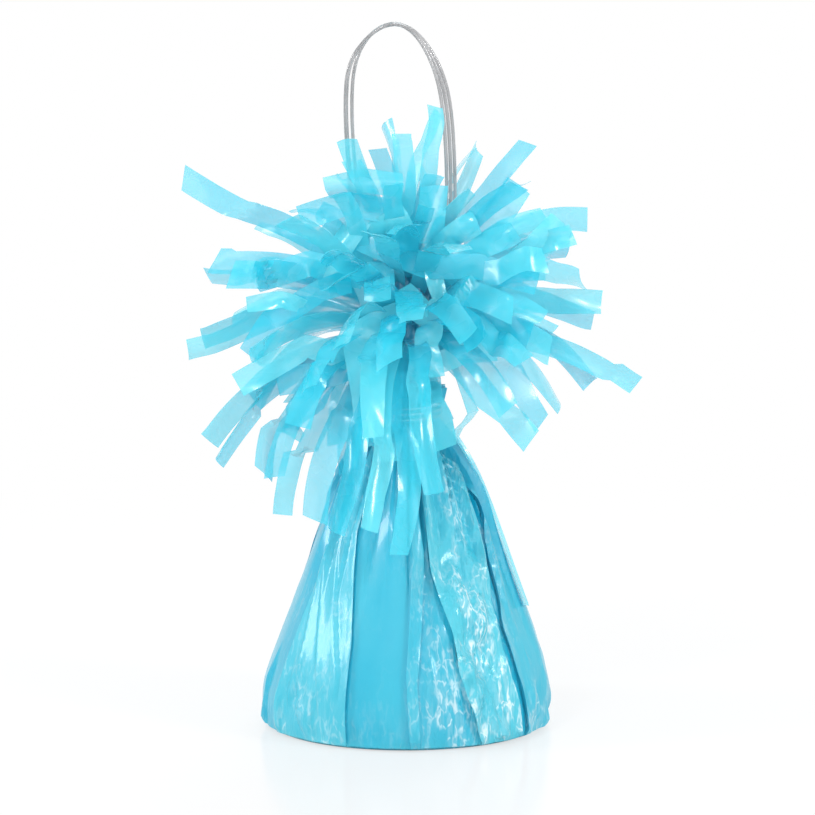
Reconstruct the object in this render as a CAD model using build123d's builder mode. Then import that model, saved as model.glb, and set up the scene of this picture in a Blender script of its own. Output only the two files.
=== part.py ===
from build123d import *
import math
import os

import numpy as np

os.makedirs("parts", exist_ok=True)

# Sizes of the film sack, in millimetres, with the floor at zero and the neck straight above the origin
base_radius = 31.4
neck_height = 70.0
neck_radius = 6.6
pleat_depth = 1.9
pleat_count = 22
film_wall = 0.6
film_clearance = 0.35

# The sack's profile from the floor up: shares of the neck height, of the base radius and of the pleat depth
sack_profile_shares = [
    (0.000, 0.962, 0.20),
    (0.043, 1.000, 0.24),
    (0.150, 0.971, 0.32),
    (0.290, 0.882, 0.42),
    (0.470, 0.736, 0.58),
    (0.740, 0.510, 0.84),
    (0.900, 0.360, 1.00),
]
pleat_drift_share = 0.28
pleat_fade_share = 0.45
pinch_pleat_share = 0.26
collar_pleat_share = 0.45
pinch_length = 5.6
collar_length = 2.6
collar_flare = 1.0

# Sizes of the cast weight and of the cup it is cast in
cup_wall = 0.8
cup_foot_height = 3.5
cup_head_space = 12.2

# Sizes of the wire that ties the neck
tie_wire_radius = 0.35
tie_turn_count = 3
tie_pitch = 1.25

# Sizes of the bunched film above the neck
head_radius = 11.0
head_half_height = 15.5
head_rise = 22.0
stem_foot_drop = 9.0

# Sizes of the handle's line
line_radius = 0.4
strand_pitch = 1.5
eye_rise = 11.0
loop_half_width = 11.2
loop_lean = 1.5
leg_foot_rise = 5.2
leg_foot_step = 2.75
bend_lead = 0.7
widest_rise = 33.5
loop_rise = 52.2
line_end_gap = 1.4
handle_swing_angle = 20

# Sizes of the fringe's strips
fringe_reach = 50.0
strip_width = 7.0
strip_thickness = 0.25
strip_gap = 0.25
strip_segment_count = 6
root_width_share = 0.42
taper_share = 0.3
lowest_root_angle = -34
highest_root_angle = 84
filler_count = 110
shown_try_count = 160
shown_turn_angle = 3
filler_try_count = 50
filler_turn_angle = 6
filler_rise_angles = (78, -62)
filler_roll_angles = (-50, 50)
filler_bend_angles = (18, 54)
filler_reach_shares = (0.66, 0.92)
bare_side_angle = 64
bare_rise_angle = -20

# Strips that show: azimuth of the tip in degrees, the tip's distance from the axis and its height over the
# head's middle as shares of the fringe's reach, then the roll of the width away from level and the bend, in
# degrees
shown_strips = [
    (174, 0.99, 0.55, 75, 15),
    (-172, 0.83, 0.28, 80, -20),
    (-157, 0.84, 0.17, 70, -25),
    (170, 0.89, 0.12, 25, 20),
    (-170, 0.90, -0.10, 70, 25),
    (178, 0.93, -0.23, 55, 30),
    (-145, 0.84, -0.14, 50, 30),
    (-162, 0.93, -0.49, 65, 30),
    (-151, 0.90, -0.60, 60, 35),
    (-173, 0.67, -0.69, 40, 40),
    (-144, 0.68, -0.67, 20, 45),
    (-161, 0.56, -0.88, 10, 40),
    (-131, 0.64, -0.84, 5, 40),
    (-112, 0.69, -0.87, 0, 40),
    (-103, 0.78, -0.44, 0, 60),
    (-101, 0.84, -0.82, -8, 45),
    (-91, 0.72, -0.95, 5, 45),
    (-85, 0.88, -0.65, 0, 60),
    (-14, 1.02, -0.32, 80, 15),
    (-5, 0.86, 0.04, 75, -20),
    (16, 0.85, 0.13, 70, 20),
    (-15, 0.76, 0.35, 60, 25),
    (4, 0.61, 0.42, 50, 30),
    (24, 0.56, 0.72, 35, 15),
    (48, 0.50, 0.66, 60, 15),
    (-34, 0.59, 0.60, 55, 20),
    (-31, 0.15, 0.91, 0, -20),
    (-93, 0.16, 0.83, 0, -25),
    (-126, 0.47, 0.80, 30, 15),
    (158, 0.50, 0.46, 50, 20),
    (130, 0.45, 0.54, 60, 20),
    (-144, 0.48, 0.47, 70, 25),
    (-51, 0.69, -0.33, 30, 40),
    (-35, 0.63, -0.53, 55, 45),
    (-8, 0.61, -0.47, 60, 40),
    (13, 0.69, -0.44, 40, 35),
    (-112, 0.80, 0.21, 15, 40),
    (-91, 0.68, 0.53, 10, 30),
    (-103, 0.68, 0.45, -20, 30),
    (-12, 0.57, -1.29, 12, 12),
    (-70, 0.81, 0.04, 20, 40),
    (-74, 0.75, 0.37, -15, 30),
    (-27, 0.70, -0.10, 60, 30),
    (-89, 0.84, 0.06, 0, 50),
    (-37, 0.73, 0.29, 65, 25),
]

# Heights and radii that follow from the sizes
golden_turn = math.pi * (3 - math.sqrt(5))
head_z = neck_height + head_rise
eye_z = head_z + eye_rise
pinch_foot = neck_height - pinch_length / 2
pinch_top = neck_height + pinch_length / 2
collar_top = pinch_top + collar_length
stem_radius = neck_radius - pleat_depth * pinch_pleat_share - film_wall - film_clearance

sack_sections = [
    (h * neck_height, r * base_radius, p * pleat_depth) for h, r, p in sack_profile_shares
]
sack_sections.append((pinch_foot, neck_radius, pinch_pleat_share * pleat_depth))
sack_sections.append((pinch_top, neck_radius, pinch_pleat_share * pleat_depth))
sack_sections.append((collar_top, neck_radius + collar_flare, collar_pleat_share * pleat_depth))
sack_heights = [height for height, radius, depth in sack_sections]
sack_reaches = [radius + depth for height, radius, depth in sack_sections]


def pleated_ring(radius, depth):
    """Closed outline that goes out to a fold's crest and in to its valley in turn, the folds uneven."""
    points = []
    for fold in range(2 * pleat_count):
        drift = pleat_drift_share * math.sin(fold * golden_turn)
        turn = math.pi * (fold + drift) / pleat_count
        swell = 1 - pleat_fade_share * (1 + math.cos(fold * fold)) / 2
        reach = radius + (depth if fold % 2 else -depth) * swell
        points.append((reach * math.cos(turn), reach * math.sin(turn)))
    return points


def biarc(start, start_way, end, end_way):
    """Two arcs that leave the start along one direction and reach the end along the other."""
    start, end = Vector(*start), Vector(*end)
    start_way, end_way = Vector(*start_way).normalized(), Vector(*end_way).normalized()
    step = end - start
    both = start_way + end_way
    slack = 2 * (1 - start_way.dot(end_way))
    if slack < 1e-6:
        reach = step.dot(step) / (4 * step.dot(end_way))
    else:
        along = step.dot(both)
        reach = (math.sqrt(along * along + slack * step.dot(step)) - along) / slack
    middle = (start + start_way * reach + end - end_way * reach) * 0.5
    middle_way = (end - end_way * reach) - (start + start_way * reach)
    TangentArc(start, middle, tangent=start_way)
    TangentArc(middle, end, tangent=middle_way)


def least_gap(wire, thickness, skipped):
    """Least distance between the surfaces of a tube's turns, measured on points of its middle line."""
    count = int(wire.length / thickness * 2)
    points = np.array([tuple(wire.position_at(i / count)) for i in range(count + 1)])
    gaps = np.linalg.norm(points[:, None] - points[None], axis=2)
    apart = np.abs(np.subtract.outer(np.arange(count + 1), np.arange(count + 1)))
    gaps[apart < skipped / wire.length * count] = wire.length
    return gaps.min() - thickness


def pleated_faces(inset):
    """Faces of a solid that follows the sack's folds, this far inside them, the topmost face last."""
    with BuildPart() as filled:
        for height, radius, depth in sack_sections:
            with BuildSketch(Plane.XY.offset(max(height, inset))):
                Polygon(*pleated_ring(radius - inset, depth), align=None)
        loft(ruled=True)
    return filled.part.faces().sort_by(Axis.Z)


# Film sack: one pleated skin, closed under the weight and gathered to the neck
outside = pleated_faces(0)
inside = pleated_faces(film_wall)
rim = Face(outside[-1].outer_wire(), [inside[-1].outer_wire()])
with BuildPart() as film_sack:
    add(Solid(Shell(outside[:-1] + inside[:-1] + [rim])))
film_sack.part.label = "film_sack"
export_step(film_sack.part, "parts/film_sack.step")

# Cast weight and its cup: the cup stands on its open mouth, and the casting fills it to the rim
def cup_radius(height):
    """Radius at which the cup just clears the valleys of the sack's folds."""
    valleys = [radius - depth for level, radius, depth in sack_sections]
    return float(np.interp(height, sack_heights, valleys)) - film_wall - film_clearance


cup_foot = film_wall + film_clearance / 2
cup_widest = cup_foot + cup_foot_height
cup_top = neck_height - cup_head_space
cup_foot_radius = cup_radius(cup_foot)
cup_widest_radius = cup_radius(cup_widest)
cup_top_radius = cup_radius(cup_top)
cast_outline = [
    (0, cup_foot),
    (cup_foot_radius - cup_wall, cup_foot),
    (cup_widest_radius - cup_wall, cup_widest),
    (cup_top_radius - cup_wall, cup_top - cup_wall),
    (0, cup_top - cup_wall),
]
with BuildPart() as weight_cup:
    with BuildSketch(Plane.XZ):
        with BuildLine():
            Polyline(
                (0, cup_foot),
                (cup_foot_radius, cup_foot),
                (cup_widest_radius, cup_widest),
                (cup_top_radius, cup_top),
                (0, cup_top),
                close=True,
            )
        make_face()
    revolve(axis=Axis.Z)
    with BuildSketch(Plane.XZ):
        with BuildLine():
            Polyline(*cast_outline, close=True)
        make_face()
    revolve(axis=Axis.Z, mode=Mode.SUBTRACT)
weight_cup.part.label = "weight_cup"
export_step(weight_cup.part, "parts/weight_cup.step")

with BuildPart() as cast_weight:
    with BuildSketch(Plane.XZ):
        with BuildLine():
            Polyline(*cast_outline, close=True)
        make_face()
    revolve(axis=Axis.Z)
cast_weight.part.label = "cast_weight"
export_step(cast_weight.part, "parts/cast_weight.step")

# Neck tie: one wire wound round the gathered neck
tie_radius = neck_radius + pinch_pleat_share * pleat_depth + film_clearance + tie_wire_radius
tie_rise = tie_turn_count * tie_pitch


def tie_point(quarter):
    turn = quarter * math.pi / 2
    height = neck_height - tie_rise / 2 + tie_pitch * quarter / 4
    return (tie_radius * math.cos(turn), tie_radius * math.sin(turn), height)


def tie_way(quarter):
    turn = quarter * math.pi / 2
    return (-math.sin(turn), math.cos(turn), tie_pitch / (2 * math.pi * tie_radius))


with BuildPart() as neck_tie:
    with BuildLine() as tie_path:
        for quarter in range(4 * tie_turn_count):
            biarc(tie_point(quarter), tie_way(quarter), tie_point(quarter + 1), tie_way(quarter + 1))
    with BuildSketch(Plane(origin=tie_point(0), z_dir=tie_way(0))):
        Circle(tie_wire_radius)
    sweep(path=tie_path.wires()[0])
neck_tie.part.label = "neck_tie"
export_step(neck_tie.part, "parts/neck_tie.step")
print("neck tie, least gap", round(least_gap(tie_path.wires()[0], 2 * tie_wire_radius, tie_radius), 3))

# Bunched head: the gathered film above the neck, with the eye that the handle's line runs through
bundle_radius = strand_pitch / math.sqrt(3)
eye_radius = bundle_radius + line_radius + film_clearance
with BuildPart() as film_head:
    with BuildSketch(Plane.XZ):
        with BuildLine():
            EllipticalCenterArc((0, head_z), head_radius, head_half_height, start_angle=-90, arc_size=180)
            Line((0, head_z + head_half_height), (0, head_z - head_half_height))
        make_face()
    revolve(axis=Axis.Z)
    with BuildSketch(Plane.XY.offset(neck_height - stem_foot_drop)):
        Circle(stem_radius)
    extrude(amount=stem_foot_drop + head_rise)
    with BuildSketch(Plane.YZ):
        with Locations((0, eye_z)):
            Circle(eye_radius)
    extrude(amount=head_radius, both=True, mode=Mode.SUBTRACT)
film_head.part.label = "film_head"
export_step(film_head.part, "parts/film_head.step")

# Handle: one line run three times through the eye and over the arch, its ends meeting in the eye
eye_places = [
    (0, -bundle_radius),
    (-strand_pitch / 2, bundle_radius / 2),
    (strand_pitch / 2, bundle_radius / 2),
]
eye_reach = head_radius * math.sqrt(1 - (eye_rise / head_half_height) ** 2) + bend_lead
outer_step = strand_pitch


def eye_point(side, place):
    across, up = eye_places[place % 3]
    return (side * eye_reach, across, eye_z + up)


def loop_turn(turn):
    """Stations of one turn from the left mouth of the eye over the arch to the right mouth."""
    deep = (turn - 1) * strand_pitch
    left = outer_step if turn == 0 else 0
    right = outer_step if turn == 2 else 0
    leg = eye_reach + leg_foot_step
    foot = eye_z + leg_foot_rise
    widest = eye_z + widest_rise
    return [
        (eye_point(-1, turn), (-1, 0, 0)),
        ((-leg - left, deep, foot), (0, 0, 1)),
        ((-loop_half_width - left - loop_lean, deep, widest), (0, 0, 1)),
        ((-loop_lean, deep, eye_z + loop_rise), (1, 0, 0)),
        ((loop_half_width + right - loop_lean, deep, widest), (0, 0, -1)),
        ((leg + right, deep, foot), (0, 0, -1)),
        (eye_point(1, turn + 1), (-1, 0, 0)),
    ]


with BuildPart() as handle_loop:
    with BuildLine() as loop_path:
        line_start = (-line_end_gap / 2, *eye_point(-1, 0)[1:])
        Line(line_start, eye_point(-1, 0))
        for turn in range(3):
            stations = loop_turn(turn)
            for (start, start_way), (end, end_way) in zip(stations, stations[1:]):
                biarc(start, start_way, end, end_way)
            if turn < 2:
                Line(eye_point(1, turn + 1), eye_point(-1, turn + 1))
        Line(eye_point(1, 3), (line_end_gap / 2, *eye_point(1, 3)[1:]))
    with BuildSketch(Plane(origin=line_start, z_dir=(-1, 0, 0))):
        Circle(line_radius)
    sweep(path=loop_path.wires()[0])
handle_loop.part.label = "handle_loop"
export_step(handle_loop.part, "parts/handle_loop.step")
loop_wire = loop_path.wires()[0]
print("handle loop, line length", round(loop_wire.length, 1))
print("handle loop, least gap", round(least_gap(loop_wire, 2 * line_radius, loop_half_width / 2), 3))

# Space that the handle sweeps as it leans, as points of its middle line
loop_count = int(loop_wire.length / (4 * line_radius))
loop_points = np.array([tuple(loop_wire.position_at(i / loop_count)) for i in range(loop_count + 1)])
loop_points = loop_points[np.abs(loop_points[:, 0]) > eye_reach - bend_lead]
swept = []
for lean in np.radians(np.arange(-handle_swing_angle - 1, handle_swing_angle + 2, 2)):
    rise = loop_points[:, 2] - eye_z
    deep = loop_points[:, 1] * math.cos(lean) - rise * math.sin(lean)
    high = loop_points[:, 1] * math.sin(lean) + rise * math.cos(lean) + eye_z
    swept.append(np.column_stack([loop_points[:, 0], deep, high]))
swept = np.concatenate(swept)


class Strip:
    """One fringe strip: a band bent along an arc, its width square to the plane that it bends in."""

    def __init__(self, tip, root_azimuth, root_latitude, roll, bend):
        turn, foot = math.radians(root_azimuth), math.radians(root_latitude)
        out = np.array([math.cos(turn), math.sin(turn), 0])
        up = np.array([0, 0, 1])
        self.root = out * (head_radius + strip_gap) * math.cos(foot)
        self.root = self.root + up * (head_z + (head_half_height + strip_gap) * math.sin(foot))
        chord = tip - self.root
        reach = np.linalg.norm(chord)
        self.along = chord / reach
        self.azimuth = math.degrees(math.atan2(tip[1], tip[0]))
        self.rise = math.degrees(math.atan2(tip[2] - head_z, math.hypot(tip[0], tip[1])))
        level = np.array([-self.along[1], self.along[0], 0])
        level = level / np.linalg.norm(level)
        upright = np.cross(self.along, level)
        tilt = math.radians(roll)
        self.across = level * math.cos(tilt) + upright * math.sin(tilt)
        self.over = np.cross(self.along, self.across)
        half = math.radians(bend) / 2
        bend_radius = reach / (2 * math.sin(half))
        self.angles = np.linspace(half, -half, strip_segment_count + 1)
        self.run = bend_radius * (math.sin(half) - np.sin(self.angles))
        self.bulge = bend_radius * (np.cos(self.angles) - math.cos(half))
        middle = self.root + np.outer(self.run, self.along) + np.outer(self.bulge, self.over)
        step = middle[1:] - middle[:-1]
        self.centres = (middle[1:] + middle[:-1]) / 2
        self.half_lengths = np.linalg.norm(step, axis=1) / 2
        self.ways = step / (2 * self.half_lengths[:, None])
        self.faces = np.cross(self.ways, self.across)
        self.taper = reach * taper_share
        self.half_widths = np.interp(self.run, [0, self.taper], [root_width_share, 1]) * strip_width / 2
        spacing = 2 * (strip_thickness + strip_gap)
        rows = np.linspace(0, strip_segment_count, int(reach / spacing) + 2)
        stations = range(strip_segment_count + 1)
        line = np.column_stack([np.interp(rows, stations, axis) for axis in middle.T])
        side = np.linspace(-1, 1, int(strip_width / spacing) + 2)
        wide = np.interp(rows, stations, self.half_widths)
        self.points = line[:, None] + (wide[:, None] * side)[:, :, None] * self.across
        self.points = self.points.reshape(-1, 3)
        self.reach = reach
        self.girth = self.from_chord(self.points).max() + strip_width / 2

    def from_chord(self, points):
        """Distance from each point to the straight line between the strip's ends."""
        away = points - self.root
        forward = np.clip(away @ self.along, 0, self.reach)
        return np.linalg.norm(away - forward[:, None] * self.along, axis=1)

    def nearest(self, points):
        """Least distance from the points to this strip's middle surface."""
        points = points[self.from_chord(points) < self.girth]
        if len(points) == 0:
            return strip_width / 2
        apart = points[:, None] - self.centres[None]
        forward = np.einsum("ijk,jk->ij", apart, self.ways)
        beyond = np.abs(forward) - self.half_lengths
        part_way = np.clip(forward / self.half_lengths, -1, 1) / 2 + 0.5
        wide = self.half_widths[:-1] + part_way * np.diff(self.half_widths)
        beside = np.abs(apart @ self.across) - wide
        above = np.einsum("ijk,jk->ij", apart, self.faces)
        return math.sqrt((np.maximum(beyond, 0) ** 2 + np.maximum(beside, 0) ** 2 + above ** 2).min())

    def outline(self):
        """Closed outline of the band, in the plane that it bends in."""
        lean = np.sin(self.angles) * strip_thickness / 2
        rise = np.cos(self.angles) * strip_thickness / 2
        top = list(zip(self.run - lean, -self.bulge - rise))
        bottom = list(zip(self.run + lean, -self.bulge + rise))
        return [(float(x), float(y)) for x, y in top + bottom[::-1]]

    def plan(self):
        """Outline of the strip seen square to its chord: narrow at the root, full width from the taper on."""
        wide, narrow = strip_width / 2, root_width_share * strip_width / 2
        start, end = self.run[0] - strip_width, self.run[-1] + strip_width
        half = [(start, narrow), (self.run[0], narrow), (self.taper, wide), (end, wide)]
        return [(float(x), float(y)) for x, y in half + [(x, -y) for x, y in half[::-1]]]

    def side_plane(self):
        start = self.root - self.across * strip_width
        return Plane(origin=tuple(start), x_dir=tuple(self.along), z_dir=tuple(self.across))

    def plan_plane(self):
        start = self.root - self.over * self.reach
        return Plane(origin=tuple(start), x_dir=tuple(self.along), z_dir=tuple(self.over))



def is_clear(strip, placed):
    """Whether a strip keeps clear of the sack, the head, the handle's sweep and the strips in place."""
    apart = strip_thickness + strip_gap
    out = np.hypot(strip.points[:, 0], strip.points[:, 1])
    high = strip.points[:, 2]
    sack = np.interp(high, sack_heights, sack_reaches)
    if ((high < collar_top + apart) & (out < sack + 2 * apart)).any():
        return False
    if ((out / head_radius) ** 2 + ((high - head_z) / head_half_height) ** 2 < 1).any():
        return False
    for other in placed:
        if strip.nearest(other.points) < apart or other.nearest(strip.points) < apart:
            return False
    return strip.nearest(swept) > line_radius + apart


def place(azimuth, out_share, up_share, roll, bend, placed, tries, stride):
    """Move a strip's root about the head, a little further at each try, until the strip is clear."""
    turn = math.radians(azimuth)
    tip = np.array([out_share * math.cos(turn), out_share * math.sin(turn), up_share]) * fringe_reach
    tip = tip + np.array([0, 0, head_z])
    rise = math.degrees(math.atan2(up_share, out_share))
    latitude = rise if rise > 0 else rise / 2
    for step in range(tries):
        shift = stride * math.sqrt(step)
        root_azimuth = azimuth + shift * math.cos(step * golden_turn)
        root_latitude = latitude + shift * math.sin(step * golden_turn)
        root_latitude = min(max(root_latitude, lowest_root_angle), highest_root_angle)
        strip = Strip(tip, root_azimuth, root_latitude, roll, bend)
        if is_clear(strip, placed):
            placed.append(strip)
            return step
    return None


# Fringe: the strips that show first, then the ones that fill the round between them
strips = []
steps = [place(*row, strips, shown_try_count, shown_turn_angle) for row in shown_strips]
print("shown strips in place", len(strips), "tries", steps)


def spread(limits, share):
    """Value at a share of the way between two limits."""
    return limits[0] + (limits[1] - limits[0]) * (share % 1)


for number in range(filler_count):
    rise = math.radians(spread(filler_rise_angles, (number + 0.5) / filler_count))
    reach_share = spread(filler_reach_shares, number * 0.618)
    azimuth = math.degrees(number * golden_turn)
    from_right = abs((azimuth + 180) % 360 - 180)
    if from_right < bare_side_angle and math.degrees(rise) < bare_rise_angle:
        continue
    out_share = reach_share * math.cos(rise)
    up_share = reach_share * math.sin(rise)
    roll = spread(filler_roll_angles, number * 0.382)
    bend = spread(filler_bend_angles, number * 0.271)
    place(azimuth, out_share, up_share, roll, bend, strips, filler_try_count, filler_turn_angle)
print("strips in place", len(strips))

tiers = [("crown", 42), ("upper", 14), ("middle", -12), ("lower", -40), ("hanging", -90)]
sides = ["right", "back", "left", "front"]
groups = {}
for strip in strips:
    tier = next(name for name, floor in tiers if strip.rise >= floor)
    side = sides[round((strip.azimuth % 360) / 90) % 4]
    groups.setdefault("fringe_" + tier + "_" + side, []).append(strip)

for name, members in groups.items():
    bands = []
    for strip in members:
        with BuildPart() as band:
            with BuildSketch(strip.side_plane()):
                Polygon(*strip.outline(), align=None)
            extrude(amount=2 * strip_width)
            with BuildSketch(strip.plan_plane()):
                Polygon(*strip.plan(), align=None)
            extrude(amount=2 * strip.reach, mode=Mode.INTERSECT)
        bands.append(band.part)
    with BuildPart() as fringe:
        add(bands)
    fringe.part.label = name
    export_step(fringe.part, "parts/" + name + ".step")
    print(name, len(members), "strips,", len(fringe.part.solids()), "solids")
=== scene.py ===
# %% [markdown]
# # A balloon weight with a film fringe
# The object is a heavy cone wrapped in one light blue plastic film. The film is gathered to a tied neck, and above
# the neck it is cut into a burst of strips. A springy loop of clear line stands out of the strips for the ribbons.
# The CAD model gives every piece its place. This script dresses it: the film gets its pleats and creases, each
# strip its own bend, and every surface a finish.

# %% Load the CAD frame
import math

import bmesh
import bpy
import numpy as np
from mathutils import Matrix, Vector


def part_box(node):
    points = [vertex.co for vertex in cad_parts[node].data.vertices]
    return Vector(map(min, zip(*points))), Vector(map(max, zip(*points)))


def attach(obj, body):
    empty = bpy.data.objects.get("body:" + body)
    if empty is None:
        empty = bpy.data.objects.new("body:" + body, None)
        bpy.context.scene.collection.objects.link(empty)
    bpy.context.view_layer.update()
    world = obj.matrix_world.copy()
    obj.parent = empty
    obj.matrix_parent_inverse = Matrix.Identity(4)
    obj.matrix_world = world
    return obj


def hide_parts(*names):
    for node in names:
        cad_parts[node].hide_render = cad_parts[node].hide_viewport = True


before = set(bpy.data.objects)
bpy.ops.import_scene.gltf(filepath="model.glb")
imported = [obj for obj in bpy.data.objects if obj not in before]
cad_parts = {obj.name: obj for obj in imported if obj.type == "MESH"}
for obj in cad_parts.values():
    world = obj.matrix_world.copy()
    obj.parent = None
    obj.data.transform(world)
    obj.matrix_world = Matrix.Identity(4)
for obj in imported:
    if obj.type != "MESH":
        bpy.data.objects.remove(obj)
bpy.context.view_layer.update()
bpy.context.scene.view_settings.view_transform = "Standard"
mm = 0.001
print("CAD nodes:", len(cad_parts))

# %% [markdown]
# ## Camera
# The photograph looks slightly down at the object from a long way off, so its lines hardly converge. A long lens
# far away does the same. The width of the view at the object and the point in the middle of the picture were read
# off the photograph, and the distance follows from the lens.

# %% Camera
view_width = 178.8 * mm
view_middle = Vector((0.33, 0, 70.6)) * mm
camera_elevation = math.radians(9.5)
camera_data = bpy.data.cameras.new("camera")
camera_data.lens = 300
camera_data.sensor_width = 36
camera_data.clip_start = 0.01
camera_distance = view_width * camera_data.lens / camera_data.sensor_width
camera = bpy.data.objects.new("camera", camera_data)
bpy.context.collection.objects.link(camera)
camera_way = Vector((0, -math.cos(camera_elevation), math.sin(camera_elevation)))
camera.location = view_middle + camera_way * camera_distance
camera.rotation_euler = camera_way.to_track_quat("Z", "Y").to_euler()
bpy.context.scene.camera = camera
print("camera distance", round(camera_distance, 3), "m")

# %% [markdown]
# ## Helpers for colours and nodes
# Colours are written as they look on a screen, as sRGB hex values, and Blender wants them linear. Materials are
# built from nodes of a few kinds, and each kind has a small function that adds a node and gives its output.

# %% Colour and node helpers
mix_first, mix_second, mix_result = 6, 7, 2  # the colour sockets of a mix node


def linear(hex_colour):
    """Linear red, green, blue and alpha of an sRGB colour such as 4CCFE6."""
    shares = [int(hex_colour[i : i + 2], 16) / 255 for i in (0, 2, 4)]
    return [c / 12.92 if c <= 0.04045 else ((c + 0.055) / 1.055) ** 2.4 for c in shares] + [1]


def set_inputs(node, inputs):
    """Sets a node's inputs. One that is given an output socket is linked to it, and any other gets the value."""
    for socket, value in inputs.items():
        if isinstance(value, bpy.types.NodeSocket):
            node.id_data.links.new(value, node.inputs[socket])
        else:
            node.inputs[socket].default_value = value


def add_node(near, kind, inputs=None, **settings):
    """A new node in the same tree as another node or socket."""
    node = near.id_data.nodes.new("ShaderNode" + kind)
    for name, value in settings.items():
        setattr(node, name, value)
    set_inputs(node, inputs or {})
    return node


def start_material(name):
    """A new material, its shader and the place on the object."""
    material = bpy.data.materials.new(name)
    material.use_nodes = True
    shader = material.node_tree.nodes["Principled BSDF"]
    return material, shader, add_node(shader, "TexCoord").outputs["Object"]


def stretch(place, scale, turn=(0, 0, 0)):
    """The place turned and scaled, so that a texture on it is drawn out."""
    return add_node(place, "Mapping", {"Vector": place, "Rotation": turn, "Scale": scale}).outputs["Vector"]


def noise(place, size, detail=2, distortion=0, output="Fac", **settings):
    """A noise with grains of this size."""
    inputs = {"Vector": place, "Scale": 1 / size, "Detail": detail, "Distortion": distortion}
    return add_node(place, "TexNoise", inputs, **settings).outputs[output]


def calc(operation, *values, clamp=False):
    """The result of a sum on outputs and numbers, an output first."""
    inputs = dict(enumerate(values))
    return add_node(values[0], "Math", inputs, operation=operation, use_clamp=clamp).outputs["Value"]


def remap(value, old_range, new_range):
    """A value that runs over the old range, brought to the new one."""
    limits = dict(zip(("From Min", "From Max", "To Min", "To Max"), (*old_range, *new_range)))
    return add_node(value, "MapRange", {"Value": value, **limits}).outputs["Result"]


def blend(share, *colours):
    """A colour between two, each an sRGB hex value or an output."""
    first, second = [linear(colour) if isinstance(colour, str) else colour for colour in colours]
    inputs = {"Factor": share, mix_first: first, mix_second: second}
    return add_node(share, "Mix", inputs, data_type="RGBA").outputs[mix_result]


def bump(height, strength, depth):
    """A bumpy normal for a shader."""
    return add_node(height, "Bump", {"Height": height, "Strength": strength, "Distance": depth}).outputs["Normal"]


def point_value(shader, name):
    """The value that is stored with a piece's points under this name."""
    return add_node(shader, "Attribute", attribute_name=name).outputs["Fac"]


# %% [markdown]
# ## Clear nylon line
# The loop is monofilament nylon, drawn smooth and clear. Against a white room it shows grey, because it bends the
# light of darker places into view, and it carries a thin bright line along its length. Part transmission with a
# grey body gives that at this small size. Drawing leaves faint lengthwise streaks, which the noise stands for.

# %% Nylon material
streak_length = 6 * mm
nylon, shader, place = start_material("drawn_clear_nylon")
nylon_look = {
    "Base Color": blend(noise(place, streak_length), "ABABAD", "DEDEDF"),
    "Transmission Weight": 0.6,
    "Roughness": 0.12,
    "IOR": 1.53,
}
set_inputs(shader, nylon_look)
print("material", nylon.name)

# %% [markdown]
# ## Handle line
# One springy line starts in the film head, goes three times over the arch and through the head again, and ends
# there. It could be a swept mesh, but a curve with a round bevel is its own centre line, and one smooth spline
# bends as a springy line does. The turns keep close over the arch and spread a little down both legs.


# %% Bending a wire
def bent_wire(name, places, radius, material, roundness, steps):
    """A round wire along one smooth curve, which starts at the first place and ends at the last."""
    curve = bpy.data.curves.new(name, "CURVE")
    curve.dimensions = "3D"
    curve.bevel_depth = radius
    curve.bevel_resolution = roundness
    curve.resolution_u = steps
    curve.use_fill_caps = True
    curve.materials.append(material)
    spline = curve.splines.new("NURBS")
    spline.points.add(len(places) - 1)
    for point, place in zip(spline.points, places):
        point.co = (*place, 1)
    spline.order_u = 3
    spline.use_endpoint_u = True
    wire = bpy.data.objects.new(name, curve)
    bpy.context.collection.objects.link(wire)
    return wire


# %% Handle line
line_diameter = 0.8 * mm
turn_count = 3
turn_pitch = 1.2 * mm
eye_height = 103 * mm
eye_ring = 0.866 * mm  # the strands lie in a bundle of three round the eye
end_half, mouth_half = 0.7 * mm, 8.45 * mm  # how far from the middle the line's ends and the eye's mouths are
# the widest place of each turn's legs
left_steps = [-13.1 * mm, -12.9 * mm, -11.7 * mm]
right_steps = [7.5 * mm, 8.4 * mm, 9.3 * mm]
# points of a turn from the photograph, in millimetres: how far to the right of the leg's widest place, and
# how high
left_leg = [(1.9, 108.2), (0.7, 121.5), (-0.3, 136.5), (0.4, 147)]
right_leg = [(0.5, 138.5), (1.5, 122.5), (1.2, 108.2)]
# the top has the same points for all turns, and the shoulder's lie at shares of the way out to the right leg
arch_top = [(-7.6, 153.4), (-2.6, 155.6)]
right_shoulder = [(0.24, 153.6), (0.75, 147.2)]


def eye_place(turn):
    """Where strand number turn passes through the eye, as depth and height."""
    angle = math.radians(-90 + 120 * turn)
    return -eye_ring * math.cos(angle), eye_height + eye_ring * math.sin(angle)


line_points = [(-end_half, *eye_place(0))]
for turn in range(turn_count):
    deep = (turn - 1) * turn_pitch
    left, right = left_steps[turn], right_steps[turn]
    line_points.append((-mouth_half, *eye_place(turn)))
    line_points += [(left + step * mm, deep, rise * mm) for step, rise in left_leg]
    line_points += [(step * mm, deep * 0.8, rise * mm) for step, rise in arch_top]
    line_points += [(right * share, deep, rise * mm) for share, rise in right_shoulder]
    line_points += [(right + step * mm, deep, rise * mm) for step, rise in right_leg]
    line_points.append((mouth_half, *eye_place(turn + 1)))
line_points.append((end_half, *eye_place(turn_count)))
handle_line = bent_wire("handle_line", line_points, line_diameter / 2, nylon, roundness=4, steps=10)
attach(handle_line, "handle")
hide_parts("handle_loop")
print("handle line of", len(line_points), "points")
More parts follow.
